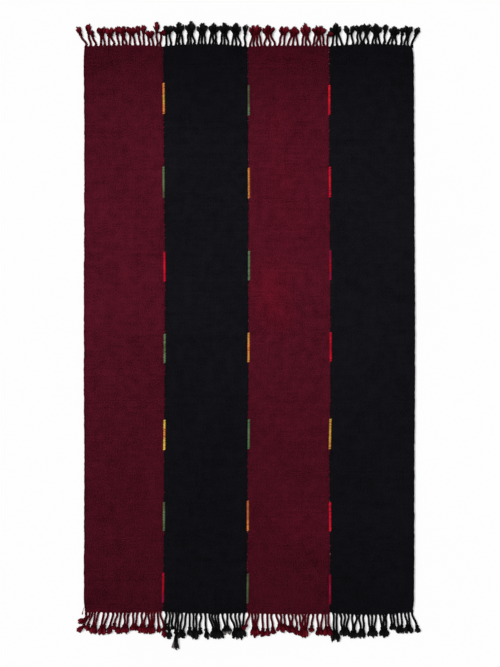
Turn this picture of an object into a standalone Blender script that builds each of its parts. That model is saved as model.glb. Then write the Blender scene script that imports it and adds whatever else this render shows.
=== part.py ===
"""Kilim runner: four narrow wool strips sewn side by side, with knotted warp fringes at both ends.

The rug lies flat on the ground. X runs across it, Y along it, Z up, and the origin is on the ground under
its middle. Every length in the tables is in millimetres.
"""
from collections import namedtuple

import bmesh
import bpy
from mathutils import Vector

MM = 0.001

CLOTH_THICK = 4.0  # coarse hand-spun wool
PIECE_GAP = 0.4  # between two strips, and between a strip and its fringe heading
HEADING = 6.0  # the last rows of weft at each end, which the fringe cords grow from
CORNER = 2.5  # how far each heading stops short of the strip's corners

ROOT_WIDE = 8.0  # a cord where it leaves the heading
ROOT_CLEAR = 2.0  # free cloth edge left between two cords
CORD_WIDE = 6.6
CORD_HIGH = 7.0
KNOT_WIDE = 11.0
KNOT_HIGH = 11.0
TUFT_WIDE = 19.0  # the splayed yarn ends past the knot, where there is room
TUFT_HIGH = 5.0
NECK_PART = 0.26  # of the tuft's length, from the knot's middle to its end
SPLAY_PART = 0.62  # of the tuft's length, from the knot's middle to its widest place
STRAND_CLEAR = 1.2  # air between neighbouring cords and tufts
CORD_BEND = 0.3  # how far a cord runs straight at its two ends, as a part of its length
CORD_NEAR = 0.16  # of the cord's length, where it has its full width past the root
CORD_MIDDLE = 0.55  # of the cord's length
TOP_SHRINK = 0.72  # a strand is narrower on top than where it lies on the ground

# The joins of the cloth at nine places along it: the left selvedge, the three seams and the right selvedge.
Station = namedtuple("Station", "y left seam_1 seam_2 seam_3 right")
STATIONS = [
    Station(-938, -556, -289, -3, 280, 564),
    Station(-700, -557, -288, -1, 279, 565),
    Station(-408, -558, -286, -1, 277, 567),
    Station(-187, -558, -283, 1, 281, 568),
    Station(153, -558, -281, 3, 280, 568),
    Station(442, -557, -283, 1, 278, 567),
    Station(731, -557, -286, 0, 276, 565),
    Station(935, -558, -289, -1, 276, 563),
    Station(985, -557, -290, -1, 276, 563),
]

# Where each strip ends, at its left corner, middle and right corner.
End = namedtuple("End", "left middle right")
TOP_ENDS = [End(979, 983, 979), End(980, 987, 978), End(978, 983, 979), End(980, 988, 980)]
BOTTOM_ENDS = [End(-936, -943, -937), End(-938, -944, -943), End(-942, -946, -944), End(-941, -947, -937)]

# The cords hang together in bunches. root_a and root_b are where the first and last cord of a bunch leave
# the cloth, head_a and head_b are where their tufts end, reach is how far past the cloth's end that is, and
# tuft is the length from the knot to the tip.
Bunch = namedtuple("Bunch", "cords root_a root_b head_a head_b reach tuft")
TOP_BUNCHES = [
    [
        Bunch(1, -550, -550, -579, -579, 67, 27),
        Bunch(1, -535, -535, -545, -545, 75, 31),
        Bunch(1, -517, -517, -528, -528, 59, 25),
        Bunch(2, -500, -487, -506, -494, 67, 28),
        Bunch(2, -472, -456, -479, -467, 61, 27),
        Bunch(1, -439, -439, -448, -448, 65, 28),
        Bunch(2, -424, -414, -435, -423, 68, 29),
        Bunch(2, -402, -383, -406, -393, 68, 29),
        Bunch(1, -366, -366, -375, -375, 68, 29),
        Bunch(1, -354, -354, -355, -355, 73, 31),
        Bunch(2, -337, -322, -342, -329, 56, 24),
        Bunch(1, -309, -309, -311, -311, 82, 35),
        Bunch(1, -298, -298, -293, -293, 52, 24),
    ],
    [
        Bunch(2, -278, -262, -281, -264, 75, 31),
        Bunch(3, -245, -221, -248, -224, 78, 34),
        Bunch(3, -206, -183, -208, -184, 78, 33),
        Bunch(3, -168, -145, -167, -145, 73, 31),
        Bunch(3, -131, -107, -129, -106, 73, 31),
        Bunch(3, -92, -68, -93, -69, 77, 33),
        Bunch(3, -54, -27, -56, -29, 77, 32),
        Bunch(1, -10, -10, -9, -9, 75, 31),
    ],
    [
        Bunch(4, 7, 46, 8, 41, 76, 31),
        Bunch(3, 57, 91, 54, 82, 73, 31),
        Bunch(2, 106, 122, 118, 133, 69, 29),
        Bunch(3, 136, 169, 146, 170, 63, 27),
        Bunch(3, 184, 211, 184, 206, 76, 34),
        Bunch(4, 222, 259, 222, 260, 73, 31),
        Bunch(1, 269, 269, 271, 271, 52, 22),
    ],
    [
        Bunch(3, 286, 320, 284, 308, 75, 32),
        Bunch(2, 335, 357, 335, 354, 70, 30),
        Bunch(2, 370, 384, 373, 385, 72, 31),
        Bunch(2, 394, 408, 397, 409, 73, 32),
        Bunch(3, 423, 448, 424, 447, 71, 31),
        Bunch(1, 462, 462, 469, 469, 69, 30),
        Bunch(3, 476, 503, 488, 510, 64, 27),
        Bunch(1, 520, 520, 527, 527, 63, 27),
        Bunch(2, 532, 543, 541, 553, 72, 31),
        Bunch(1, 556, 556, 578, 578, 64, 28),
    ],
]
BOTTOM_BUNCHES = [
    [
        Bunch(1, -549, -549, -577, -577, 37, 22),
        Bunch(1, -539, -539, -577, -577, 70, 30),
        Bunch(1, -529, -529, -549, -549, 63, 24),
        Bunch(2, -520, -508, -535, -522, 75, 32),
        Bunch(2, -490, -476, -507, -492, 76, 34),
        Bunch(1, -459, -459, -474, -474, 74, 32),
        Bunch(1, -445, -445, -457, -457, 57, 20),
        Bunch(1, -432, -432, -443, -443, 72, 28),
        Bunch(2, -418, -405, -428, -414, 71, 30),
        Bunch(2, -390, -376, -396, -382, 62, 25),
        Bunch(2, -360, -347, -369, -352, 72, 32),
        Bunch(3, -337, -317, -343, -320, 76, 34),
        Bunch(1, -307, -307, -302, -302, 72, 26),
        Bunch(1, -297, -297, -287, -287, 86, 36),
    ],
    [
        Bunch(3, -279, -257, -276, -258, 92, 34),
        Bunch(2, -245, -235, -248, -239, 124, 54),
        Bunch(2, -224, -211, -229, -218, 88, 32),
        Bunch(3, -199, -177, -201, -177, 88, 36),
        Bunch(1, -162, -162, -161, -161, 70, 22),
        Bunch(1, -145, -145, -144, -144, 86, 32),
        Bunch(4, -131, -101, -121, -88, 87, 38),
        Bunch(2, -87, -71, -76, -63, 73, 30),
        Bunch(4, -58, -14, -50, -11, 87, 38),
    ],
    [
        Bunch(1, 4, 4, 2, 2, 58, 22),
        Bunch(3, 14, 34, 14, 34, 80, 34),
        Bunch(1, 49, 49, 51, 51, 80, 32),
        Bunch(1, 66, 66, 67, 67, 78, 32),
        Bunch(1, 80, 80, 85, 85, 71, 29),
        Bunch(3, 95, 124, 105, 129, 65, 30),
        Bunch(2, 138, 150, 141, 153, 65, 27),
        Bunch(1, 163, 163, 165, 165, 71, 28),
        Bunch(3, 174, 197, 177, 200, 80, 32),
        Bunch(2, 208, 220, 212, 223, 62, 18),
        Bunch(2, 236, 253, 236, 250, 77, 30),
        Bunch(2, 263, 273, 263, 275, 78, 34),
    ],
    [
        Bunch(2, 290, 302, 292, 304, 100, 42),
        Bunch(3, 313, 341, 317, 341, 76, 30),
        Bunch(2, 355, 368, 352, 363, 83, 29),
        Bunch(2, 379, 393, 381, 393, 80, 32),
        Bunch(3, 408, 434, 411, 434, 77, 32),
        Bunch(3, 449, 470, 452, 474, 77, 32),
        Bunch(2, 485, 495, 487, 499, 54, 20),
        Bunch(2, 506, 521, 512, 525, 69, 27),
        Bunch(2, 534, 545, 540, 556, 71, 28),
        Bunch(1, 557, 557, 580, 580, 71, 26),
    ],
]

# The long tassel hangs on a short length of heading of its own, which ends here.
LONG_TASSEL_SPLIT = -229.5

COLOURS = {"burgundy": (0.065, 0.006, 0.012), "black": (0.0065, 0.006, 0.008)}
STRIP_COLOURS = ["burgundy", "black", "burgundy", "black"]


def clear_scene():
    """Remove every object that is already there."""
    for old in list(bpy.data.objects):
        bpy.data.objects.remove(old, do_unlink=True)


def wool(name):
    """Dull wool in one of the two colours of the cloth."""
    material = bpy.data.materials.new(f"wool_{name}")
    material.use_nodes = True
    shader = material.node_tree.nodes["Principled BSDF"]
    shader.inputs["Base Color"].default_value = (*COLOURS[name], 1.0)
    shader.inputs["Roughness"].default_value = 0.95
    shader.inputs["Metallic"].default_value = 0.0
    return material


def join_x(join, y):
    """The x of a selvedge or seam at a place along the cloth; join 0 is the left selvedge, 4 the right."""
    for low, high in zip(STATIONS, STATIONS[1:]):
        if y <= high.y:
            break
    part = (y - low.y) / (high.y - low.y)
    return low[join + 1] + part * (high[join + 1] - low[join + 1])


def end_y(end, part):
    """The y of a strip's end, on the arc through its two corners and its middle."""
    bow = end.middle - (end.left + end.right) / 2
    return end.left + part * (end.right - end.left) + bow * 4 * part * (1 - part)


def end_curve(strip, end, inset):
    """Points along one end of a strip from left to right, moved inwards along the cloth by inset."""
    inwards = -inset if end.middle > 0 else inset
    left = join_x(strip, end.left) + PIECE_GAP / 2
    right = join_x(strip + 1, end.right) - PIECE_GAP / 2
    parts = [0.0, 0.12, 0.3, 0.5, 0.7, 0.88, 1.0]
    return [Vector((left + part * (right - left), end_y(end, part) + inwards)) for part in parts]


def cut_curve(curve, left, right):
    """The stretch of a curve between two x values, with a point at each of them."""
    def point_at(x):
        for low, high in zip(curve, curve[1:]):
            if x <= high.x:
                break
        return low.lerp(high, (x - low.x) / (high.x - low.x))

    return [point_at(left)] + [point for point in curve if left < point.x < right] + [point_at(right)]


def panel_outline(strip):
    """One strip's outline without its headings, anticlockwise from the lower left corner."""
    inset = HEADING + PIECE_GAP
    bottom = end_curve(strip, BOTTOM_ENDS[strip], inset)
    top = end_curve(strip, TOP_ENDS[strip], inset)
    lowest = max(bottom[0].y, bottom[-1].y)
    highest = min(top[0].y, top[-1].y)
    places = [station.y for station in STATIONS if lowest < station.y < highest]
    right = [Vector((join_x(strip + 1, y) - PIECE_GAP / 2, y)) for y in places]
    left = [Vector((join_x(strip, y) + PIECE_GAP / 2, y)) for y in reversed(places)]
    return bottom + right + list(reversed(top)) + left


def spaced(first, last, count):
    """Evenly spaced numbers from first to last."""
    if count == 1:
        return [first]
    return [first + index * (last - first) / (count - 1) for index in range(count)]


class Strand:
    """One twisted cord with its knot and tuft, seen from above."""

    def __init__(self, root_x, head_x, bunch, end, strip, way):
        left = join_x(strip, end.left)
        right = join_x(strip + 1, end.right)
        part = (root_x - left) / (right - left)
        self.root = Vector((root_x, end_y(end, part)))
        self.tip = Vector((head_x, self.root.y + way * bunch.reach))
        self.tuft = bunch.tuft
        self.knot = self.root.lerp(self.tip, 1 - bunch.tuft / (self.tip - self.root).length)
        self.out = Vector((0.0, way))
        self.aim = (self.tip - self.knot).normalized()
        self.room = TUFT_WIDE

    def cord(self, part):
        """A point of the cord between its root and its knot, and its direction there."""
        bend = CORD_BEND * (self.knot - self.root).length
        first = self.root + bend * self.out
        second = self.knot - bend * self.aim
        early = self.root.lerp(first, part).lerp(first.lerp(second, part), part)
        late = first.lerp(second, part).lerp(second.lerp(self.knot, part), part)
        return early.lerp(late, part), (late - early).normalized()

    def samples(self):
        """Points along the strand, past the first stretch near its root."""
        cord = [self.cord(part)[0] for part in (0.45, 0.6, 0.75, 0.9)]
        tuft = [self.knot.lerp(self.tip, part) for part in (0.0, 0.25, 0.5, 0.75, 1.0)]
        return cord + tuft

    def sections(self):
        """Sections from the cord's start to the tuft's tip: place, direction, width and height."""
        neck = NECK_PART * self.tuft
        cord = min(CORD_WIDE, self.room)
        knot = min(KNOT_WIDE, self.room)
        tuft = min(TUFT_WIDE, self.room)
        before = 1 - neck / (self.knot - self.root).length
        return [
            (*self.cord(CORD_NEAR), cord, CORD_HIGH),
            (*self.cord(CORD_MIDDLE), cord, CORD_HIGH),
            (*self.cord(before), cord, CORD_HIGH),
            (self.knot, self.aim, knot, KNOT_HIGH),
            (self.knot + neck * self.aim, self.aim, cord, CORD_HIGH),
            (self.knot.lerp(self.tip, SPLAY_PART), self.aim, tuft, CORD_HIGH),
            (self.tip, self.aim, tuft * TOP_SHRINK, TUFT_HIGH),
        ]


def strands_of(strip, end, bunches, way):
    """The strands of one fringe, from left to right, way being 1 at the top end and -1 at the bottom."""
    strands = []
    for bunch in bunches:
        roots = spaced(bunch.root_a, bunch.root_b, bunch.cords)
        heads = spaced(bunch.head_a, bunch.head_b, bunch.cords)
        for root_x, head_x in zip(roots, heads):
            strands.append(Strand(root_x, head_x, bunch, end, strip, way))
    return strands


def share_room(strands):
    """Make the knots and tufts as wide as their neighbours let them be."""
    for one, other in zip(strands, strands[1:]):
        near = min((a - b).length for a in one.samples() for b in other.samples())
        one.room = min(one.room, near - STRAND_CLEAR)
        other.room = min(other.room, near - STRAND_CLEAR)


def ring(bm, place, aim, wide, high):
    """Four points around a strand that lies on the ground: two on the ground and two on top."""
    side = Vector((aim.y, -aim.x)) * (wide / 2)
    corners = [(-1.0, 0.0), (1.0, 0.0), (TOP_SHRINK, high), (-TOP_SHRINK, high)]
    return [bm.verts.new(Vector((*(place + across * side), z)) * MM) for across, z in corners]


def add_object(name, bm, material):
    """Turn a bmesh into a named object with its faces pointing out."""
    bmesh.ops.recalc_face_normals(bm, faces=bm.faces)
    mesh = bpy.data.meshes.new(name)
    bm.to_mesh(mesh)
    bm.free()
    mesh.materials.append(material)
    item = bpy.data.objects.new(name, mesh)
    bpy.context.scene.collection.objects.link(item)
    return item


def make_panel(strip, material):
    """One woven strip, a flat slab with its own slightly uneven outline."""
    bm = bmesh.new()
    outline = panel_outline(strip)
    low = [bm.verts.new(Vector((*point, 0.0)) * MM) for point in outline]
    base = bm.faces.new(low)
    bmesh.ops.triangulate(bm, faces=[base])
    lifted = bmesh.ops.extrude_face_region(bm, geom=list(bm.faces))
    raised = [item for item in lifted["geom"] if isinstance(item, bmesh.types.BMVert)]
    bmesh.ops.translate(bm, verts=raised, vec=(0.0, 0.0, CLOTH_THICK * MM))
    return add_object(f"panel_{strip + 1}", bm, material)


def make_fringe(name, outer, inner, strands, material):
    """A heading strip with its cords, knots and tufts growing out of it as one piece."""
    bm = bmesh.new()
    rooted = []
    edge = [outer[0]]
    for strand in strands:
        near = min(abs(strand.root.x - other.root.x) for other in strands if other is not strand)
        half = Vector((min(ROOT_WIDE, near - ROOT_CLEAR) / 2, 0.0))
        rooted.append(len(edge))
        edge += [strand.root - half, strand.root + half]
    edge.append(outer[-1])
    outline = edge + list(reversed(inner))
    low = [bm.verts.new(Vector((*point, 0.0)) * MM) for point in outline]
    high = [bm.verts.new(Vector((*point, CLOTH_THICK)) * MM) for point in outline]
    caps = [bm.faces.new(low), bm.faces.new(high)]
    bmesh.ops.triangulate(bm, faces=caps)
    for index in range(len(outline)):
        after = (index + 1) % len(outline)
        if index not in rooted:
            bm.faces.new((low[index], low[after], high[after], high[index]))
    for strand, first in zip(strands, rooted):
        second = first + 1
        if strand.out.y < 0:
            first, second = second, first
        last = [low[first], low[second], high[second], high[first]]
        for section in strand.sections():
            corners = ring(bm, *section)
            for index in range(4):
                after = (index + 1) % 4
                bm.faces.new((last[index], last[after], corners[after], corners[index]))
            last = corners
        bm.faces.new(last)
    return add_object(name, bm, material)


def make_fringes(side, ends, bunches, way, wools):
    """The fringes of all four strips at one end of the rug."""
    fringes = [strands_of(strip, ends[strip], bunches[strip], way) for strip in range(4)]
    share_room([strand for fringe in fringes for strand in fringe])
    for strip, strands in enumerate(fringes):
        material = wools[STRIP_COLOURS[strip]]
        name = f"fringe_{side}_{strip + 1}"
        outer = end_curve(strip, ends[strip], 0.0)
        outer = cut_curve(outer, outer[0].x + CORNER, outer[-1].x - CORNER)
        inner = end_curve(strip, ends[strip], HEADING)
        if outer[0].x < LONG_TASSEL_SPLIT < outer[-1].x and way < 0:
            stop = LONG_TASSEL_SPLIT - PIECE_GAP / 2
            start = LONG_TASSEL_SPLIT + PIECE_GAP / 2
            long_cuts = [cut_curve(curve, curve[0].x, stop) for curve in (outer, inner)]
            long_ones = [strand for strand in strands if strand.root.x < stop]
            make_fringe(f"{name}_long", *long_cuts, long_ones, material)
            outer, inner = [cut_curve(curve, start, curve[-1].x) for curve in (outer, inner)]
            strands = [strand for strand in strands if strand.root.x > start]
        make_fringe(name, outer, inner, strands, material)


def make_runner():
    """All four strips, with a fringe at both ends of each."""
    clear_scene()
    wools = {name: wool(name) for name in COLOURS}
    for strip, colour in enumerate(STRIP_COLOURS):
        make_panel(strip, wools[colour])
    make_fringes("top", TOP_ENDS, TOP_BUNCHES, 1.0, wools)
    make_fringes("bottom", BOTTOM_ENDS, BOTTOM_BUNCHES, -1.0, wools)


make_runner()
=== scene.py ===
"""The kilim runner's looks: woven strips, sewn seams and knotted fringes, laid flat in soft studio light.

X runs across the rug, Y along it and Z up. Every length in the tables is in millimetres.
"""
import math
from collections import namedtuple

import bpy
import numpy as np
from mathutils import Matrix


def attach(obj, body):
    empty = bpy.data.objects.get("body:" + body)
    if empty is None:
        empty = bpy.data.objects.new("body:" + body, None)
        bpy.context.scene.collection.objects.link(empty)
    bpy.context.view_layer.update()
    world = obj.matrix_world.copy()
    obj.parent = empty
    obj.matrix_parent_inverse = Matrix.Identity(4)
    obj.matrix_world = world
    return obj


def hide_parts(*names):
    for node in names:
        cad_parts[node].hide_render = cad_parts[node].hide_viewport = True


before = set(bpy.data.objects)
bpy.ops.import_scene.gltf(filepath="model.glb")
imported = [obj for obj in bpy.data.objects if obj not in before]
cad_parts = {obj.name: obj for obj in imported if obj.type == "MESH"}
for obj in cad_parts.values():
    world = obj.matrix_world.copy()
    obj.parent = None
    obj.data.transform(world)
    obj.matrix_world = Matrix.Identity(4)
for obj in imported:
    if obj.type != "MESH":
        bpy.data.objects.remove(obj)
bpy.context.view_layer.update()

MM = 0.001

# The joins of the cloth along it: the left selvedge, the three seams and the right selvedge.
Station = namedtuple("Station", "y left seam_1 seam_2 seam_3 right")
STATIONS = [
    Station(-938, -558, -289, -4.5, 278.5, 564),
    Station(-700, -556.5, -285.5, -1, 279, 565),
    Station(-408, -555.6, -285, -1, 276, 565.5),
    Station(-187, -557.4, -283, 1, 281, 567.5),
    Station(153, -557, -281, 1.5, 280, 567),
    Station(442, -556, -284, 2, 278, 565.5),
    Station(731, -556, -286, 0, 276, 564.5),
    Station(935, -558, -288, -1, 276, 563),
    Station(985, -558, -287.5, -1, 276, 563),
]
JOIN_SMOOTH = 35.0  # how softly the joins turn at a station

# Where each strip ends, at its left corner, middle and right corner.
End = namedtuple("End", "left middle right")
TOP_ENDS = [End(979.5, 983.7, 979.5), End(980.5, 987.6, 978.5), End(978, 983, 979), End(980, 988, 980)]
BOTTOM_ENDS = [End(-936, -943, -937), End(-938.5, -945.5, -943.5), End(-942.4, -946.6, -944.4),
               End(-942, -949.5, -938.5)]

# The cords hang together in bunches. root_a and root_b are where the first and last cord of a bunch leave
# the cloth, head_a and head_b are where their tufts end, reach is how far past the cloth's end that is, and
# tuft is the length from the knot to the tip.
Bunch = namedtuple("Bunch", "cords root_a root_b head_a head_b reach tuft")
TOP_BUNCHES = [
    [
        Bunch(1, -550, -550, -579, -579, 67, 27),
        Bunch(1, -535, -535, -545, -545, 75, 31),
        Bunch(1, -517, -517, -533, -533, 53, 17),
        Bunch(2, -500, -487, -506, -494, 67, 28),
        Bunch(2, -472, -456, -479, -467, 66, 29),
        Bunch(1, -439, -439, -448, -448, 65, 28),
        Bunch(2, -424, -414, -435, -423, 68, 29),
        Bunch(2, -402, -383, -406, -393, 68, 29),
        Bunch(1, -366, -366, -375, -375, 68, 29),
        Bunch(1, -354, -354, -355, -355, 73, 31),
        Bunch(2, -337, -322, -342, -329, 56, 24),
        Bunch(1, -309, -309, -311, -311, 82, 35),
        Bunch(1, -298, -298, -293, -293, 52, 24),
    ],
    [
        Bunch(2, -278, -262, -281, -264, 76, 31),
        Bunch(3, -245, -221, -248, -224, 79, 34),
        Bunch(3, -206, -183, -208, -184, 79, 33),
        Bunch(3, -168, -145, -167, -145, 74, 31),
        Bunch(3, -131, -107, -129, -106, 74, 31),
        Bunch(3, -92, -68, -93, -69, 78, 33),
        Bunch(3, -54, -27, -56, -29, 78, 32),
        Bunch(1, -10, -10, -9, -9, 76, 31),
    ],
    [
        Bunch(4, 7, 46, 8, 41, 76, 31),
        Bunch(3, 57, 91, 54, 82, 74, 30),
        Bunch(2, 106, 122, 118, 133, 70, 29),
        Bunch(3, 136, 169, 146, 170, 65, 27),
        Bunch(3, 184, 211, 184, 206, 76, 34),
        Bunch(4, 222, 259, 222, 260, 74, 31),
        Bunch(1, 269, 269, 271, 271, 52, 22),
    ],
    [
        Bunch(3, 286, 320, 284, 308, 75, 32),
        Bunch(2, 335, 357, 335, 354, 70, 30),
        Bunch(2, 370, 384, 373, 385, 72, 31),
        Bunch(2, 394, 408, 397, 409, 73, 32),
        Bunch(3, 423, 448, 424, 447, 71, 31),
        Bunch(1, 462, 462, 469, 469, 69, 30),
        Bunch(3, 476, 503, 488, 510, 64, 27),
        Bunch(1, 520, 520, 527, 527, 63, 27),
        Bunch(2, 532, 543, 541, 553, 72, 31),
        Bunch(1, 556, 556, 578, 578, 64, 28),
    ],
]
BOTTOM_BUNCHES = [
    [
        Bunch(1, -549, -549, -577, -577, 37, 22),
        Bunch(1, -539, -539, -577, -577, 70, 30),
        Bunch(1, -529, -529, -549, -549, 63, 24),
        Bunch(2, -520, -508, -535, -522, 75, 32),
        Bunch(2, -490, -476, -507, -492, 76, 34),
        Bunch(1, -459, -459, -474, -474, 74, 32),
        Bunch(1, -445, -445, -457, -457, 57, 20),
        Bunch(1, -432, -432, -443, -443, 72, 28),
        Bunch(2, -418, -405, -428, -414, 71, 30),
        Bunch(2, -390, -376, -396, -382, 62, 25),
        Bunch(2, -360, -347, -369, -352, 72, 32),
        Bunch(3, -337, -317, -343, -320, 76, 34),
        Bunch(1, -307, -307, -302, -302, 72, 26),
        Bunch(1, -297, -297, -287, -287, 86, 36),
    ],
    [
        Bunch(1, -279, -279, -279, -279, 62, 20),
        Bunch(1, -268, -268, -268, -268, 91, 34),
        Bunch(1, -257, -257, -258, -258, 58, 12),
        Bunch(2, -245, -235, -249, -246, 125, 66),
        Bunch(2, -225, -210, -234, -224, 87, 32),
        Bunch(1, -199, -199, -198, -198, 77, 31),
        Bunch(2, -186, -174, -185, -177, 88, 35),
        Bunch(1, -162, -162, -163, -163, 70, 22),
        Bunch(1, -146, -146, -141, -141, 85, 34),
        Bunch(4, -131, -101, -121, -88, 87, 38),
        Bunch(2, -87, -71, -76, -63, 73, 30),
        Bunch(4, -58, -14, -50, -11, 87, 38),
    ],
    [
        Bunch(1, 4, 4, 2, 2, 58, 22),
        Bunch(3, 14, 34, 14, 34, 80, 34),
        Bunch(1, 49, 49, 51, 51, 80, 32),
        Bunch(1, 66, 66, 67, 67, 78, 32),
        Bunch(1, 80, 80, 85, 85, 71, 29),
        Bunch(3, 96, 124, 101, 137, 64, 30),
        Bunch(2, 138, 150, 141, 153, 65, 27),
        Bunch(1, 163, 163, 165, 165, 71, 28),
        Bunch(4, 174, 206, 178, 199, 80, 33),
        Bunch(1, 221, 221, 215, 215, 62, 22),
        Bunch(2, 236, 253, 236, 250, 77, 30),
        Bunch(2, 263, 273, 263, 275, 78, 34),
    ],
    [
        Bunch(2, 290, 302, 292, 304, 100, 42),
        Bunch(3, 313, 341, 317, 341, 76, 30),
        Bunch(2, 355, 368, 352, 363, 83, 29),
        Bunch(2, 379, 393, 381, 393, 80, 32),
        Bunch(3, 408, 434, 411, 434, 77, 32),
        Bunch(3, 449, 470, 452, 474, 77, 32),
        Bunch(2, 485, 495, 487, 499, 54, 20),
        Bunch(2, 506, 521, 512, 525, 69, 27),
        Bunch(2, 534, 545, 540, 556, 71, 28),
        Bunch(1, 557, 557, 580, 580, 71, 26),
    ],
]

# Heads that lie out of line, most of them over the next strip's fringe: the end, the strip, the cord's number
# in it, where the knot and the tip of the tuft are and how far each is past the cloth, and how high it lies.
Crossing = namedtuple("Crossing", "side strip cord knot knot_reach tip tip_reach lift")
CROSSINGS = [
    Crossing("top", 0, 17, -297, 46, -278, 48, 1),
    Crossing("top", 2, 19, 272, 37, 288, 47, 7),
    Crossing("bottom", 0, 0, -553, 29, -577, 41, 0),
    Crossing("bottom", 0, 1, -558, 50, -580, 71, 0),
    Crossing("bottom", 0, 20, -286, 60, -282, 90, 6),
    Crossing("bottom", 2, 0, -7, 43, -21, 58, 7),
    Crossing("bottom", 2, 21, 276, 50, 281, 79, 5),
]
FADED = ("bottom", 1, 10)  # the one bunch whose yarn ends have gone grey
FLARED = ("bottom", 1, 3)  # the long tassel, which spreads only at its tip

# Dyed wools of the seams, as linear colour.
WOOLS = {
    "orange": (0.82, 0.25, 0.052),
    "deep_orange": (0.60, 0.155, 0.05),
    "pale_orange": (0.74, 0.32, 0.06),
    "yellow": (0.72, 0.39, 0.06),
    "bright_yellow": (0.86, 0.56, 0.085),
    "red": (0.66, 0.007, 0.032),
    "bright_red": (0.76, 0.012, 0.03),
    "dark_red": (0.42, 0.005, 0.02),
    "crimson": (0.32, 0.006, 0.048),
    "dark_crimson": (0.235, 0.004, 0.028),
    "green": (0.13, 0.215, 0.105),
    "grass_green": (0.07, 0.175, 0.068),
    "dark_green": (0.088, 0.135, 0.055),
    "olive": (0.1, 0.1, 0.055),
    "dark_olive": (0.075, 0.1, 0.05),
    "burgundy": (0.11, 0.008, 0.018),
    "black": (0.0065, 0.006, 0.008),
}

# Coloured stretches of the seams. mix says how the second wool shares the stretch: at its low end, in the
# middle of its length, or along its right side. lean is how far the stretch sits to the right of the seam.
Stretch = namedtuple("Stretch", "seam top bottom wool second mix lean")
STRETCHES = [
    Stretch(1, 856, 751, "orange", "yellow", "middle", 0.5),
    Stretch(1, 572, 466, "green", "olive", "low", -2.0),
    Stretch(1, 282, 182, "red", "bright_red", "middle", -1.6),
    Stretch(1, 4, -95, "green", "dark_green", "middle", -0.7),
    Stretch(1, -288, -391, "bright_yellow", "orange", "middle", 0.5),
    Stretch(1, -568, -666, "dark_green", "green", "middle", 0.0),
    Stretch(1, -808, -909, "dark_red", "crimson", "low", -0.4),
    Stretch(2, 849, 747, "olive", "green", "low", 3.0),
    Stretch(2, 568, 464, "pale_orange", "deep_orange", "right", 2.0),
    Stretch(2, 286, 185, "green", "green", "middle", 2.2),
    Stretch(2, 8, -92, "pale_orange", "orange", "middle", 1.0),
    Stretch(2, -286, -388, "grass_green", "green", "middle", 3.0),
    Stretch(2, -563, -666, "deep_orange", "orange", "low", 0.7),
    Stretch(2, -811, -911, "dark_olive", "dark_green", "middle", 2.4),
    Stretch(3, 849, 748, "bright_red", "red", "low", 0.4),
    Stretch(3, 571, 468, "red", "bright_red", "middle", 1.0),
    Stretch(3, 287, 187, "crimson", "dark_red", "middle", 0.7),
    Stretch(3, 9, -90, "red", "dark_red", "middle", 0.5),
    Stretch(3, -285, -388, "yellow", "pale_orange", "low", 1.6),
    Stretch(3, -567, -667, "red", "bright_red", "low", 0.9),
    Stretch(3, -814, -914, "dark_crimson", "crimson", "middle", 0.2),
]

STRIP_WOOLS = ["burgundy", "black", "burgundy", "black"]
# Linear colours of the cloth and its brightest places, and of the cords and their palest tips.
CLOTH_COLOURS = {"burgundy": (0.0755, 0.0054, 0.0138), "black": (0.0064, 0.0061, 0.0084)}
BRIGHTER = {"burgundy": (0.16, 0.005, 0.015), "black": (0.05, 0.035, 0.032)}
YARN_COLOURS = {"burgundy": (0.059, 0.0022, 0.0056), "black": (0.0042, 0.0039, 0.0043)}
PALER = {"burgundy": (0.22, 0.012, 0.022), "black": (0.24, 0.215, 0.205)}

# Painted shade: how much of the cloth's colour is kept along it, darker towards both ends for light falling
# off there, from the bottom end of the cloth at 0 to the top end at 1.
PAINTED_END_SHADE = [(0.0, 0.58), (0.05, 0.65), (0.2, 0.745), (0.36, 0.83), (0.48, 0.92), (0.56, 0.985), (0.64, 1.0),
          (0.8, 1.0), (0.88, 0.92), (0.94, 0.78), (1.0, 0.59)]

CLOTH_THICK = 4.0
CLOTH_LONG = 1.92  # in metres
JOIN_GAP = -0.2  # from a seam to the edge of the cloth on either side: the wool is pressed together
ROW_STEP = 3.1  # along the cloth
COLUMN_STEP = 4.2  # across the cloth
# The columns closer together along the two edges, and the rest between them, as a share of the width.
LEFT_COLUMNS = [0.002, 0.008, 0.016]
RIGHT_COLUMNS = [0.984, 0.992, 0.998]
MIDDLE_COLUMNS = (0.03, 0.97)
EDGE_ROUND = 2.2
# The side of a selvedge from its face to its underside: how far in, as a part of EDGE_ROUND, and how high.
EDGE_SIDE = [(0.5, 0.95), (0.1, 0.78), (0.0, 0.5), (0.2, 0.18), (0.8, 0.0)]
UNDER_PARTS = (0.95, 0.7, 0.3, 0.05)  # where the underside has points, as a share of its width
DRAWN = 4.0  # how far the two outer selvedges draw in at their ends
DRAWN_LONG = 15.0  # over about this length of them
LEFT_OUT = 0.8  # how far the left one lies outside its line
ROLL = 1.3  # how much higher than the cloth the left one lies
CURL = 4.2  # how much the right one curls up off the ground
CURL_WIDE = 8.0
EDGE_SWELL = 1.5  # how much an edge rises before its underside leaves the ground
RIM = 1.8  # the width of the brighter line painted along the two outer selvedges
RIM_BRIGHT = 0.8
RIM_DARK = 0.5  # how much darker the cloth is painted just inside those
RIM_DARK_WIDE = 6.5  # where that ends, from the selvedge
PULL = 2.2  # how far each cord pulls the end of the cloth out at its root
PULL_WIDE = 4.5
PULL_LONG = 9.0  # how far into the cloth that is felt
END_OUT = 0.7  # how far the end lies out all along
END_HIGH = (0.62, 0.9)  # how high the two outermost rows are, as a part of the rest

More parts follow.
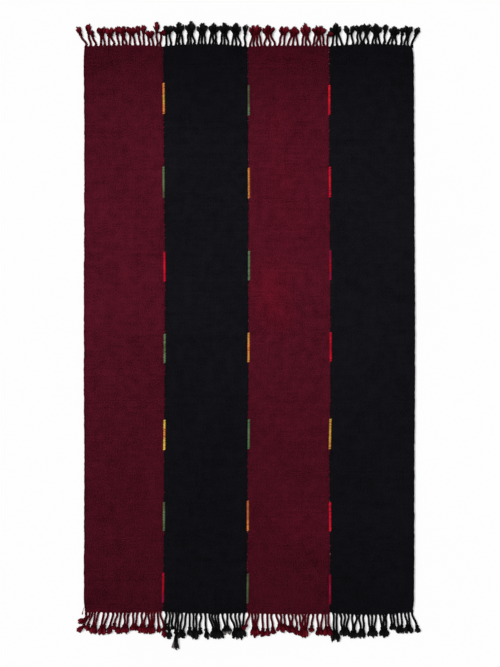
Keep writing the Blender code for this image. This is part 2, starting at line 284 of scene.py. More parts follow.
# How uneven the face is: the seed of each set of waves, how wide and long they are and how high.
Wave = namedtuple("Wave", "seed wide long high")
FACE_LIFT = 0.9  # how far the face lies above the cloth's thickness
SWELLS = [Wave(1, 190, 260, 0.55), Wave(2, 90, 120, 0.35)]
BARS = [Wave(4, 70, 7, 0.16), Wave(5, 28, 5, 0.12), Wave(6, 6, 40, 0.08)]
BITE_PITCH = 9.5  # from one joining stitch's pull on the cloth's edge to the next
SEAM_DIP = 0.7  # how far the cloth sinks at a seam
SEAM_RIDGE = 0.5  # how far it rises beside one
SEAM_RIDGE_AT = 10.0
SEAM_WIDE = 5.0
CREASE_FADE = 12.0  # how far a crease fades out past its two ends

# Soft creases left by folding, as ridges or troughs across the cloth: where, over which part of its width,
# how high, how wide and how much they slant.
Crease = namedtuple("Crease", "y start stop high wide tilt")
CREASES = [
    Crease(8, -560, -280, 1.5, 12, 0.004),
    Crease(6, -285, 5, 2.4, 17, -0.004),
    Crease(11, 0, 285, 2.2, 15, 0.003),
    Crease(27, 275, 570, -1.7, 12, -0.004),
    Crease(7, 275, 570, 1.0, 12, 0.002),
    Crease(493, -285, 0, 0.9, 14, 0.01),
    Crease(505, -560, -280, 0.7, 16, -0.006),
    Crease(-470, -560, -280, 0.7, 15, 0.008),
    Crease(-462, 0, 280, 0.9, 13, -0.01),
    Crease(478, 0, 280, 0.7, 15, 0.008),
    Crease(-480, 280, 570, 0.8, 14, 0.006),
]

# Soft places where the dye is brighter: where they are, how wide and long, and how much.
Patch = namedtuple("Patch", "x y wide long gain")
PATCHES = [
    Patch(75, 125, 60, 95, 0.32),
    Patch(120, 55, 45, 50, 0.16),
    Patch(60, 190, 90, 60, 0.1),
    Patch(140, 440, 140, 230, 0.12),
    Patch(150, 760, 110, 120, 0.07),
    Patch(150, -300, 110, 80, 0.06),
    Patch(170, -650, 90, 60, 0.14),
    Patch(120, 940, 160, 40, 0.08),
    Patch(-420, 250, 120, 350, 0.04),
    Patch(92, 700, 28, 60, 0.1),
    Patch(119, 537, 35, 45, 0.09),
    Patch(133, 832, 26, 28, 0.08),
]

# How uneven the dye is: its cells across, along and through the cloth, their detail and how strong it is.
THROUGH = 900  # so deep that the dye is the same all through
DYE_CELLS = [
    ((240, 240, THROUGH), 3.0, 0.12),
    ((50, 50, THROUGH), 2.0, 0.11),
    ((420, 9, THROUGH), 2.0, 0.09),
    ((60, 7, THROUGH), 2.0, 0.09),
    ((6, 130, THROUGH), 2.0, 0.08),
    ((24, 28, THROUGH), 2.0, 0.18),
]
GRAIN_CELLS = (3.4, 3.5, THROUGH)  # the single threads' lighter and darker spots
GRAIN = 0.6
FIBRE_CELLS = (1.2, 0.8, 1.2)
WEFT_PITCH = 2.3
WARP_PITCH = 4.8
WEAVE_DEPTH = 0.7

CORD_HELIX = 2.0  # from a cord's middle to the middle of each of its two plies
CORD_FLAT = 0.75  # how high that rises, as a part of how wide it goes
PLY_RADIUS = 2.55
PLY_PITCH = 11.5
CORD_STEP = 1.8
CORD_LIFT = 4.1  # the height of a cord's middle where it lies on the ground
CORD_START = 4.0  # how far under the edge of the cloth a cord starts
CORD_SWAY = 2.5  # how far it may lean to one side from there
CORD_WOBBLE = 2.3
ROOT_HEIGHT = 2.7  # the height of its middle at its start
ROOT_SIZE = 0.6  # how thick it is there, as a part of the rest
ROOT_LONG = 13.0  # where it has its full thickness
CORD_BEND = 0.42  # how far a cord runs straight at its two ends, as a part of its length
KNOT_SIZE = (1.5, 1.3, 1.2)  # a knot's size in three directions, as so many times a plain trefoil's
KNOT_HEIGHT = 5.6  # the height of its middle
KNOT_YARN = 2.7
KNOT_FLOOR = 1.12  # how low its yarn's middle may lie, in radii: a little over one, as the yarn is oval
GATHER = {1: 1.0, 2: 0.62, 3: 0.54, 4: 0.6}  # the spread that the knots keep, by the cords in the bunch
STACK = [0.0, 4.2, 1.0, 4.8]  # lift of the knots in a bunch, one after another

# How the tufts of a bunch lie, at each end of the rug: how far the outer ones lean out, in radians, how much
# shorter they are, how much nearer the cloth their knots are, how late their yarn ends spread, how long the
# tufts are for their length in the tables, how much further out they all lie, how far apart the knots stay
# for what GATHER says and how unequal the yarn ends are.
Splay = namedtuple("Splay", "lean shorter drop late long out loose ragged")
SPLAYS = {
    "top": Splay(0.23, 0.3, 2.5, 0.5, 0.97, -0.3, 0.9, 0.09),
    "bottom": Splay(0.12, 0.12, 2.0, 0.55, 0.85, 1.6, 1.0, 0.1),
}
PAIR_SPLAY = 0.5  # how much of this a bunch of two has
OUTER_THIN = 0.3  # how much narrower the outer tufts are
LOWER = 6  # yarn ends that lie on the ground
UPPER = 4  # yarn ends that lie on those
TUFT_HALF = {1: 9.8, 2: 9.2, 3: 8.4, 4: 8.4}  # half the width of a tuft's end, by the cords in its bunch
TUFT_FOOT = 0.3  # how wide the yarn ends stand where they leave the knot, as a part of that
TUFT_FULL = 24.0  # the length from which a tuft has its full width
TUFT_START = 3.0  # where the yarn ends start, past the middle of the knot
UPPER_SPREAD = 0.62  # how far the upper yarn ends spread, as a part of the lower ones' spread
UPPER_REACH = 0.86  # how far they reach, in the same way
TUFT_CURL = 1.6  # how far a yarn end bends to one side
ROUNDING = 0.3  # how much shorter the outer yarn ends of a tuft are
FLARE_ROUNDING = 0.05  # the same for the long tassel
YARN_FLOOR = 1.15  # how low a yarn end's middle may lie, in radii
YARN_RADIUS = 2.6  # of a tuft's yarn ends, which YARN_SWELL makes thinner or thicker along them
YARN_SWELL = np.array([0.72, 0.8, 0.88, 0.98, 1.06, 1.1, 1.02, 0.8])  # from the knot on, before the tip
NECK = 0.6  # how much of the long tassel is a narrow neck
NECK_THIN = 0.1  # how much thinner its yarn ends are there
FLARE_HALF = 11.5  # half the width of its end
PALE_TIP = {"burgundy": 0.45, "black": 0.045}  # how much paler wool shows at the tips of the yarn ends

# A loose thread that has slipped out beside the left selvedge.
LOOSE_AT = ("bottom", 0)
LOOSE_PATH = [(-557, -926, 2), (-560, -933, 1), (-562, -940, 1), (-563, -946, 2), (-564, -950, 2)]
LOOSE_RADII = [0.7, 0.8, 1.0, 2.1, 1.5]

# Stitches of the seams and the small ones that join the strips between them.
STITCH_PITCH = 5.6
STITCH_HALF = 2.8  # from a stitch's middle to its end
STITCH_SLANT = 2.4  # how much further along its right end is
STITCH_RADIUS = 2.4
STITCH_RISE = (4.0, 5.0)  # how high it stands over its two ends
STITCH_RINGS = 8
STITCH_SIDES = 8
JOINING_PITCH = 9.0
JOINING_HALF = 3.6
JOINING_SLANT = 4.2
JOINING_RADIUS = 0.95
JOINING_RISE = 1.7
JOINING_SIDES = 5
JOINING_FROM = -930.0
JOINING_TO = 972.0
JOINING_CLEAR = 5.0  # free of them at both ends of a coloured stretch
JOINING_BURGUNDY = 0.22  # how many of them are burgundy and not black

# The floor, the light and the camera, which stands straight above the rug.
FLOOR_HALF = 20000.0
FLOOR_COLOUR = (0.9, 0.9, 0.9)
WORLD_LIGHT = 0.11
CAMERA_AT = (0.0068, 0.0051, 8.0)  # in metres
SENSOR = 36.0
PHOTO_ROWS = 667
PIXEL = 3.4  # the length that one pixel of the photograph stands for

# Suns: where each stands, in metres, how strong it is and how wide it looks, in degrees.
Sun = namedtuple("Sun", "name place energy angle")
SUNS = [Sun("key", (-4, 1.9, 5.8), 1.43, 12), Sun("overhead", (-0.6, 0.6, 5), 1.99, 30)]


def curve_at(places, values, place, soft):
    """Straight runs between points, rounded off over a length."""
    shifts = np.linspace(-1.5, 1.5, 7)
    weights = np.exp(-shifts**2)
    total = sum(w * np.interp(place + s * soft, places, values) for s, w in zip(shifts, weights))
    return total / weights.sum()


def join_x(join, y):
    """The x of a selvedge or seam along the cloth; join 0 is the left selvedge and 4 the right one."""
    places = [station.y for station in STATIONS]
    values = [station[join + 1] for station in STATIONS]
    return curve_at(places, values, np.asarray(y, float), JOIN_SMOOTH)


def end_y(end, part):
    """The y of a strip's end, on the arc through its two corners and its middle."""
    bow = end.middle - (end.left + end.right) / 2
    return end.left + part * (end.right - end.left) + bow * 4 * part * (1 - part)


def smooth(value):
    """Zero to one with soft ends."""
    value = np.clip(value, 0.0, 1.0)
    return value * value * (3 - 2 * value)


def field(seed, x, y, cell_x, cell_y):
    """Smooth random heights between -1 and 1 over the ground, with cells of a given size."""
    values = np.random.default_rng(seed).uniform(-1, 1, (64, 1024))
    column = np.asarray(x) / cell_x + 20.0
    row = np.asarray(y) / cell_y + 500.0
    c = np.floor(column).astype(int)
    r = np.floor(row).astype(int)
    u = smooth(column - c)
    v = smooth(row - r)

    def at(i, j):
        return values[i % 64, j % 1024]

    low = at(c, r) * (1 - u) + at(c + 1, r) * u
    high = at(c, r + 1) * (1 - u) + at(c + 1, r + 1) * u
    return low * (1 - v) + high * v


def seam_distance(x, y):
    """How far a place is from the nearest of the three seams."""
    return np.min([np.abs(x - join_x(join, y)) for join in (1, 2, 3)], axis=0)


def add_waves(height, waves, x, y):
    """A height with sets of waves added to it."""
    for wave in waves:
        height = height + wave.high * field(wave.seed, x, y, wave.wide, wave.long)
    return height


def cloth_height(x, y):
    """The height of the cloth's face over the ground."""
    lift = add_waves(FACE_LIFT, SWELLS, x, y)
    for crease in CREASES:
        from_start = smooth((x - crease.start + CREASE_FADE) / (2 * CREASE_FADE))
        across = from_start * smooth((crease.stop + CREASE_FADE - x) / (2 * CREASE_FADE))
        centre = crease.y + crease.tilt * (x - crease.start) + 3 * field(3, x, y * 0, 60, 50)
        lift = lift + crease.high * across * np.exp(-((y - centre) / crease.wide) ** 2)
    bars = add_waves(0.0, BARS, x, y)
    near = seam_distance(x, y)
    ridge = SEAM_RIDGE * np.exp(-(((near - SEAM_RIDGE_AT) / SEAM_WIDE) ** 2))
    seam = -SEAM_DIP * np.exp(-((near / SEAM_WIDE) ** 2)) + ridge
    return CLOTH_THICK + np.maximum(lift, 0.1) + bars + seam


def join_rings(rings, sides, first):
    """The numbers of the points in rings, those of the points after them, and the faces between the rings."""
    index = np.arange(rings * sides).reshape(rings, sides) + first
    after = np.roll(index, -1, axis=1)
    quads = np.stack([index[:-1], after[:-1], after[1:], index[1:]], axis=2).reshape(-1, 4)
    return index, after, quads.tolist()


def make_object(name, points, faces, material):
    """A smooth mesh object from points in millimetres."""
    mesh = bpy.data.meshes.new(name)
    mesh.from_pydata((np.asarray(points) * MM).tolist(), [], faces)
    mesh.shade_smooth()
    mesh.set_sharp_from_angle(angle=math.radians(70))
    mesh.materials.append(material)
    item = bpy.data.objects.new(name, mesh)
    bpy.context.scene.collection.objects.link(item)
    return item


def set_tone(item, name, values):
    """A number at each point of a mesh, for its material to read."""
    attribute = item.data.attributes.new(name, "FLOAT", "POINT")
    attribute.data.foreach_set("value", np.asarray(values, np.float32))


class Shader:
    """A wool material, built node by node."""

    def __init__(self, name):
        self.material = bpy.data.materials.new(name)
        self.material.use_nodes = True
        self.tree = self.material.node_tree
        self.surface = self.tree.nodes["Principled BSDF"]
        self.surface.inputs["Roughness"].default_value = 0.95
        self.surface.inputs["Specular IOR Level"].default_value = 0.03
        self.place = self.tree.nodes.new("ShaderNodeTexCoord").outputs["Object"]

    def feed(self, socket, value):
        """Give a socket a number, or link it to an output."""
        if isinstance(value, bpy.types.NodeSocket):
            self.tree.links.new(value, socket)
        else:
            socket.default_value = value

    def math(self, operation, *values):
        """One sum on numbers or outputs."""
        node = self.tree.nodes.new("ShaderNodeMath")
        node.operation = operation
        for socket, value in zip(node.inputs, values):
            self.feed(socket, value)
        return node.outputs[0]

    def axes(self):
        """The x, y and z of a place, in metres."""
        node = self.tree.nodes.new("ShaderNodeSeparateXYZ")
        self.feed(node.inputs[0], self.place)
        return node.outputs

    def noise(self, cells, detail=2.0):
        """Noise about zero whose cells are so many millimetres across, along and through."""
        mapping = self.tree.nodes.new("ShaderNodeMapping")
        mapping.inputs["Scale"].default_value = [1 / (cell * MM) for cell in cells]
        self.feed(mapping.inputs["Vector"], self.place)
        node = self.tree.nodes.new("ShaderNodeTexNoise")
        node.inputs["Scale"].default_value = 1.0
        node.inputs["Detail"].default_value = detail
        self.feed(node.inputs["Vector"], mapping.outputs[0])
        return self.math("MULTIPLY_ADD", node.outputs["Fac"], 4.0, -2.0)

    def attribute(self, name):
        """A number that the mesh carries."""
        node = self.tree.nodes.new("ShaderNodeAttribute")
        node.attribute_name = name
        return node.outputs["Fac"]

    def total(self, start, *shares):
        """A starting number plus each output times its amount."""
        for output, amount in shares:
            start = self.math("MULTIPLY_ADD", output, amount, start)
        return start

    def painted_end_shade(self, y):
        """Painted shade along the rug: the colour is darker towards its ends, for light falling off there."""
        node = self.tree.nodes.new("ShaderNodeValToRGB")
        ramp = node.color_ramp
        while len(ramp.elements) < len(PAINTED_END_SHADE):
            ramp.elements.new(0.5)
        for element, (place, value) in zip(ramp.elements, PAINTED_END_SHADE):
            element.position = place
            element.color = (value, value, value, 1.0)
        self.feed(node.inputs[0], self.math("MULTIPLY_ADD", y, 1 / CLOTH_LONG, 0.5))
        return node.outputs["Color"]

    def paint(self, colour, tone):
        """Base colour times a tone; colour is three numbers or an output."""
        node = self.tree.nodes.new("ShaderNodeVectorMath")
        node.operation = "SCALE"
        self.feed(node.inputs[0], colour)
        self.feed(node.inputs["Scale"], tone)
        self.feed(self.surface.inputs["Base Color"], node.outputs[0])

    def mix(self, first, second, share):
        """Two colours mixed."""
        node = self.tree.nodes.new("ShaderNodeMix")
        node.data_type = "RGBA"
        self.feed(node.inputs["Factor"], share)
        self.feed(node.inputs["A"], (*first, 1.0))
        self.feed(node.inputs["B"], (*second, 1.0))
        return node.outputs["Result"]

    def bump(self, height, depth):
        """Relief of a depth in millimetres."""
        node = self.tree.nodes.new("ShaderNodeBump")
        node.inputs["Distance"].default_value = depth * MM
        self.feed(node.inputs["Height"], height)
        self.feed(self.surface.inputs["Normal"], node.outputs[0])


def cloth_material(name, colour, brighter):
    """Coarse plain weave with bars, streaks and blotches of its own dye, and painted shade towards its ends.
    """
    shader = Shader(name)
    x, y, _ = shader.axes()
    tone = shader.total(1.0, *[(shader.noise(cells, detail), amount) for cells, detail, amount in DYE_CELLS])
    mixed = shader.mix(colour, brighter, shader.attribute("bright"))
    # The dye's unevenness times the painted shade towards the ends.
    dye_and_end_shade = shader.math("MULTIPLY", shader.painted_end_shade(y), tone)
    grain = shader.total(dye_and_end_shade, (shader.noise(GRAIN_CELLS, 1.0), GRAIN))
    shader.paint(mixed, shader.math("MULTIPLY", grain, shader.attribute("tone")))
    rows = shader.math("MULTIPLY", y, 1 / (WEFT_PITCH * MM))
    shift = shader.math("MULTIPLY", shader.math("FLOOR", rows), math.pi)
    warps = shader.math("SINE", shader.math("MULTIPLY_ADD", x, 2 * math.pi / (WARP_PITCH * MM), shift))
    wefts = shader.math("ABSOLUTE", shader.math("SINE", shader.math("MULTIPLY", rows, math.pi)))
    height = shader.math("MULTIPLY", shader.math("MULTIPLY_ADD", warps, 0.5, 0.5), wefts)
    shader.bump(shader.total(height, (shader.noise(FIBRE_CELLS, 3.0), 0.25)), WEAVE_DEPTH)
    return shader.material


def yarn_material(name, colour, second):
    """Twisted wool with fine fibres."""
    shader = Shader(name)
    tone = shader.total(
        shader.attribute("tone"),
        (shader.noise((6, 6, 6)), 0.22),
        (shader.noise((1.4, 1.4, 1.4)), 0.12),
    )
    shader.paint(shader.mix(colour, second, shader.attribute("share")), tone)
    shader.bump(shader.noise((0.9, 0.9, 0.9)), 0.3)
    return shader.material


def cloth_rows(strip):
    """Where the rows of one strip's mesh are, as a share of its length."""
    count = round((TOP_ENDS[strip].middle - BOTTOM_ENDS[strip].middle) / ROW_STEP)
    return np.linspace(0, 1, count + 1)


def cloth_columns(strip):
    """Where the columns of one strip's face are, as a share of its width."""
    wide = join_x(strip + 1, 0.0) - join_x(strip, 0.0)
    count = round(wide / COLUMN_STEP)
    return np.concatenate([LEFT_COLUMNS, np.linspace(*MIDDLE_COLUMNS, count), RIGHT_COLUMNS])


def selvedge(join, y):
    """How a selvedge or a seam wanders to one side and the other."""
    if join in (0, 4):
        return 0.6 * field(11 + join, 0.0, y, 50, 7) + 0.5 * field(12 + join, 0.0, y, 50, 24)
    bites = np.abs(((y / BITE_PITCH) % 1.0) * 2 - 1) - 0.5
    return 1.1 * bites + 0.9 * field(16 + join, 0.0, y, 50, 13)


def root_places(bunches):
    """The x of each cord's root."""
    return np.concatenate([np.linspace(b.root_a, b.root_b, b.cords) for b in bunches])


def strip_edges(strip, y):
    """The x of the left and the right edge of one strip along it."""
    near_ends = [np.exp(-np.abs(end[strip].left - y) / DRAWN_LONG) for end in (TOP_ENDS, BOTTOM_ENDS)]
    drawn = DRAWN * sum(near_ends)
    left = join_x(strip, y) + JOIN_GAP + selvedge(strip, y)
    right = join_x(strip + 1, y) - JOIN_GAP + selvedge(strip + 1, y)
    if strip == 0:
        left = left + (drawn - LEFT_OUT)
    if strip == 3:
        right = right - drawn
    return left, right


def pull_end(x, y, edge, bunches, side):
    """The y of the cloth once the cords at one of its ends have pulled that out."""
    pull = np.zeros_like(x)
    for root in root_places(bunches):
        pull = np.maximum(pull, np.exp(-(((x - root) / PULL_WIDE) ** 2)))
    return y + side * (PULL * pull + END_OUT) * np.exp(-np.abs(y - edge) / PULL_LONG)


def make_cloth(strip, material):
    """One woven strip: a closed sheet with rounded selvedges that lies on the ground."""
    rows = cloth_rows(strip)[:, None]
    share = cloth_columns(strip)
    count = len(share)
    low, high = BOTTOM_ENDS[strip], TOP_ENDS[strip]
    middle = end_y(low, 0.5) + rows * (end_y(high, 0.5) - end_y(low, 0.5))
    left, right = strip_edges(strip, middle)
    x = left + EDGE_ROUND + share * (right - left - 2 * EDGE_ROUND)
    y = end_y(low, share) + rows * (end_y(high, share) - end_y(low, share))
    y = pull_end(x, y, end_y(low, share), BOTTOM_BUNCHES[strip], -1)
    y = pull_end(x, y, end_y(high, share), TOP_BUNCHES[strip], 1)
    z = cloth_height(x, y)
    if strip == 0:
        z = z + ROLL * np.exp(-(((x - left) / CURL_WIDE) ** 2))
    if strip == 3:
        z = z + CURL * np.exp(-(((right - x) / CURL_WIDE) ** 2))
    rim = np.ones(len(rows))
    rim[[0, -1]], rim[[1, -2]] = END_HIGH
    z = z * rim[:, None]
    ends = [(left, y[:, :1], z[:, :1], 1), (right, y[:, -1:], z[:, -1:], -1)]
    sides = []
    for edge, edge_y, edge_z, way in ends:
        off = np.maximum(edge_z - CLOTH_THICK - EDGE_SWELL, 0)
        sides.append([(edge + way * EDGE_ROUND * a, edge_y, off + (edge_z - off) * b) for a, b in EDGE_SIDE])
    under = []
    for part in UNDER_PARTS:
        under.append((left + part * (right - left), y[:, [round(part * (count - 1))]], 0 * left))
    loop = [(x[:, [i]], y[:, [i]], z[:, [i]]) for i in range(count)]
    loop += sides[1] + under + list(reversed(sides[0]))
    points = np.stack([np.hstack([part[axis] for part in loop]) for axis in range(3)], axis=2)
    index, _, quads = join_rings(points.shape[0], points.shape[1], 0)
    faces = quads + [index[0][::-1].tolist(), index[-1].tolist()]
    flat = points.reshape(-1, 3)
    item = make_object(f"cloth_{strip + 1}", flat, faces, material)
    inside = np.full(len(flat), 99.0)
    if strip == 0:
        inside = (points[:, :, 0] - left).ravel()
    if strip == 3:
        inside = (right - points[:, :, 0]).ravel()
    bright = patches(flat[:, 0], flat[:, 1]) if STRIP_WOOLS[strip] == "burgundy" else np.zeros(len(flat))
    # A brighter line painted along the outer selvedges, and a darker band just inside it.
    set_tone(item, "bright", bright + RIM_BRIGHT * smooth(RIM - inside))
    dark = smooth((inside - RIM) / 0.8) * smooth((RIM_DARK_WIDE - inside) / 2.5)
    set_tone(item, "tone", 1 - RIM_DARK * dark)
    return item


def patches(x, y):
    """How much brighter the dye is at a place."""
    total = np.zeros_like(x)
    for patch in PATCHES:
        far = ((x - patch.x) / patch.wide) ** 2 + ((y - patch.y) / patch.long) ** 2
        total += patch.gain * np.exp(-far)
    return total


def per_point(value, rings, sides):
    """A number for each point of a tube, from one for all or one for each ring."""
    ring = np.broadcast_to(np.asarray(value, float), (rings,))
    return np.append(np.repeat(ring, sides), [ring[0], ring[-1]])


class Pile:
    """Points and faces of many tubes, gathered into one mesh."""

    def __init__(self):
        self.points = []
        self.faces = []
        self.tones = []
        self.shares = []
        self.count = 0

    def tube(self, path, radii, sides, tone, share=0.0, oval=0.0, turn=0.0):
        """A closed tube along a path, with rounded ends; oval and turn make it look twisted."""
        path = np.asarray(path, float)
        rings = len(path)
        radii = np.broadcast_to(np.asarray(radii, float), (rings,))
        along = np.gradient(path, axis=0)
        along /= np.linalg.norm(along, axis=1)[:, None]
        normal = np.array([0.0, 0.0, 1.0]) if abs(along[0, 2]) < 0.9 else np.array([1.0, 0.0, 0.0])
        normals = np.empty_like(path)
        for i in range(rings):
            normal = normal - along[i] * (normal @ along[i])
            normal /= math.sqrt(normal @ normal)
            normals[i] = normal
        others = np.cross(along, normals)
        angles = np.linspace(0, 2 * math.pi, sides, endpoint=False)
        wide = 1 + oval * np.cos(2 * (angles[None, :] - turn * np.arange(rings)[:, None]))
        reach = (radii[:, None] * wide)[:, :, None]
        cosines, sines = np.cos(angles)[:, None], np.sin(angles)[:, None]
        out = cosines * normals[:, None] + sines * others[:, None]
        body = (path[:, None] + reach * out).reshape(-1, 3)
        poles = np.array([path[0] - along[0] * radii[0] * 0.6, path[-1] + along[-1] * radii[-1] * 0.6])
        index, after, quads = join_rings(rings, sides, self.count)
        first, last = self.count + rings * sides, self.count + rings * sides + 1
        self.faces += quads
        self.faces += [[first, b, a] for a, b in zip(index[0].tolist(), after[0].tolist())]
        self.faces += [[last, a, b] for a, b in zip(index[-1].tolist(), after[-1].tolist())]
        self.points += [body, poles]
        self.tones.append(per_point(tone, rings, sides))
        self.shares.append(per_point(share, rings, sides))
        self.count += rings * sides + 2

    def finish(self, name, material):
        """Make the object."""
        item = make_object(name, np.vstack(self.points), self.faces, material)
        set_tone(item, "tone", np.concatenate(self.tones))
        set_tone(item, "share", np.concatenate(self.shares))
        return item


class Strand:
    """One cord with its knot and tuft."""

    def __init__(self, root, tip, tuft, way):
        self.root = root
        self.tip = tip
        self.way = way
        length = np.linalg.norm(tip - root)
        self.knot = root + (tip - root) * (1 - tuft / length)
        self.lift = 0.0
        self.half = TUFT_HALF[1]
        self.late = 1.0
        self.ragged = 0.0
        self.neck = 0.0
        self.faded = False

    def splay(self, splay, across, rng):
        """Turn and shorten the tuft by its place in its bunch, from -1 at the left to 1 at the right."""
        self.knot[1] -= self.way * (splay.drop * abs(across) + rng.uniform(-2, 2))
        turn = -self.way * splay.lean * across + rng.uniform(-0.1, 0.1)
        x, y = (self.tip - self.knot) * (1 - splay.shorter * abs(across)) * rng.uniform(0.94, 1.06)
        turned = [x * math.cos(turn) - y * math.sin(turn), x * math.sin(turn) + y * math.cos(turn)]
        self.tip = self.knot + np.array(turned)
        self.half *= 1 - OUTER_THIN * abs(across)


def strands_of(side, strip, end, bunches, way, rng):
    """The strands of one fringe, drawn together at their knots."""
    crossings = {c.cord: c for c in CROSSINGS if c.side == side and c.strip == strip}
    splay = SPLAYS[side]
    left, right = join_x(strip, end.left), join_x(strip + 1, end.right)
    strands = []
    for number, bunch in enumerate(bunches):
        roots = np.linspace(bunch.root_a, bunch.root_b, bunch.cords)
        heads = np.linspace(bunch.head_a, bunch.head_b, bunch.cords)
        group = []
        for place, (root_x, head_x) in enumerate(zip(roots, heads)):
            root = np.array([root_x, end_y(end, (root_x - left) / (right - left))])
            tip = np.array([head_x, root[1] + way * (bunch.reach + splay.out)])
            strand = Strand(root, tip, splay.long * bunch.tuft, way)
            strand.lift = STACK[place]
            strand.half = TUFT_HALF[bunch.cords] * min(1.0, bunch.tuft / TUFT_FULL)
            strand.late = splay.late if bunch.cords > 1 else 1.0
            strand.ragged = splay.ragged
            strand.faded = (side, strip, number) == FADED
            if (side, strip, number) == FLARED:
                strand.neck = NECK
                strand.half = FLARE_HALF
            group.append(strand)
        middle = sum(strand.knot for strand in group) / len(group)
        gather = splay.loose * GATHER[bunch.cords]
        for place, strand in enumerate(group):
            strand.knot = middle + (strand.knot - middle) * np.array([gather, 1.0])
            across = 2 * place / (len(group) - 1) - 1 if len(group) > 1 else 0.0
            if not strand.neck:
                strand.splay(splay, across * (PAIR_SPLAY if len(group) == 2 else 1.0), rng)
            crossing = crossings.get(len(strands) + place)
            if crossing:
                strand.knot = np.array([crossing.knot, strand.root[1] + way * crossing.knot_reach])
                strand.tip = np.array([crossing.tip, strand.root[1] + way * crossing.tip_reach])
                strand.lift = crossing.lift
        strands += group
    return strands


def add_cord(pile, strand, rng, tone):
    """The twisted cord from under the cloth's edge to the knot."""
    out = np.array([0.0, strand.way])
    start = strand.root - CORD_START * out
    length = np.linalg.norm(strand.knot - start)
    aim = (strand.knot - start) / length
    bend = CORD_BEND * length
    sway = np.array([rng.uniform(-CORD_SWAY, CORD_SWAY), 0.0])
    handles = [start, start + bend * out + sway, strand.knot - bend * aim, strand.knot]
    count = int(length / CORD_STEP) + 2
    t = np.linspace(0, 1, count)[:, None]
    flat = ((1 - t) ** 3 * handles[0] + 3 * (1 - t) ** 2 * t * handles[1]
            + 3 * (1 - t) * t**2 * handles[2] + t**3 * handles[3])
    flat[:, 0] += CORD_WOBBLE * np.sin(2 * math.pi * t[:, 0]) * rng.uniform(-1, 1)
    grown = smooth(t * length / ROOT_LONG)
    raised = (strand.lift * 0.8 + 1.2) * smooth((t - 0.35) / 0.6)
    height = ROOT_HEIGHT + (CORD_LIFT - ROOT_HEIGHT) * grown + raised
    path = np.hstack([flat, height])
    along = np.gradient(path, axis=0)
    along /= np.linalg.norm(along, axis=1)[:, None]
    side = np.cross(along, [0.0, 0.0, 1.0])
    side /= np.linalg.norm(side, axis=1)[:, None]
    up = np.cross(side, along)
    phase = rng.uniform(0, 2 * math.pi)
    angle = phase + 2 * math.pi * length * t / PLY_PITCH
    size = ROOT_SIZE + (1 - ROOT_SIZE) * grown
    for ply in (0, math.pi):
        helix = CORD_HELIX * size * (np.cos(angle + ply) * side + CORD_FLAT * np.sin(angle + ply) * up)
        pile.tube(path + helix, PLY_RADIUS * size[:, 0], 6, tone)
    for way in (-1, 1):
        foot = strand.root + np.array([way * rng.uniform(4.2, 5.8), -3.0 * strand.way])
        knee = strand.root + np.array([way * rng.uniform(2.4, 3.4), 4.0 * strand.way])
        end = strand.root + out * rng.uniform(11, 15)
        pile.tube([(*foot, 2.6), (*knee, 2.9), (*end, 3.6)], [1.9, 1.9, 1.2], 6, tone)


def add_knot(pile, strand, rng, tone):
    """An overhand knot, drawn tight."""
    t = np.linspace(0, 2 * math.pi, 30)
    x = np.sin(t) + 2 * np.sin(2 * t)
    y = np.cos(t) - 2 * np.cos(2 * t)
    loop = np.stack([x, y, -1.9 * np.sin(3 * t)], axis=1)
    spin = rng.uniform(0, 2 * math.pi)
    tilt = rng.uniform(-0.5, 0.5)
    turn = np.array([[math.cos(spin), -math.sin(spin), 0], [math.sin(spin), math.cos(spin), 0], [0, 0, 1]])
    lean = np.array([[1, 0, 0], [0, math.cos(tilt), -math.sin(tilt)], [0, math.sin(tilt), math.cos(tilt)]])
    loop = loop @ turn.T @ lean.T * KNOT_SIZE + [*strand.knot, KNOT_HEIGHT + strand.lift]
    loop[:, 2] = np.maximum(loop[:, 2], KNOT_FLOOR * KNOT_YARN)
    pile.tube(loop, KNOT_YARN, 7, tone, oval=0.12, turn=0.35)


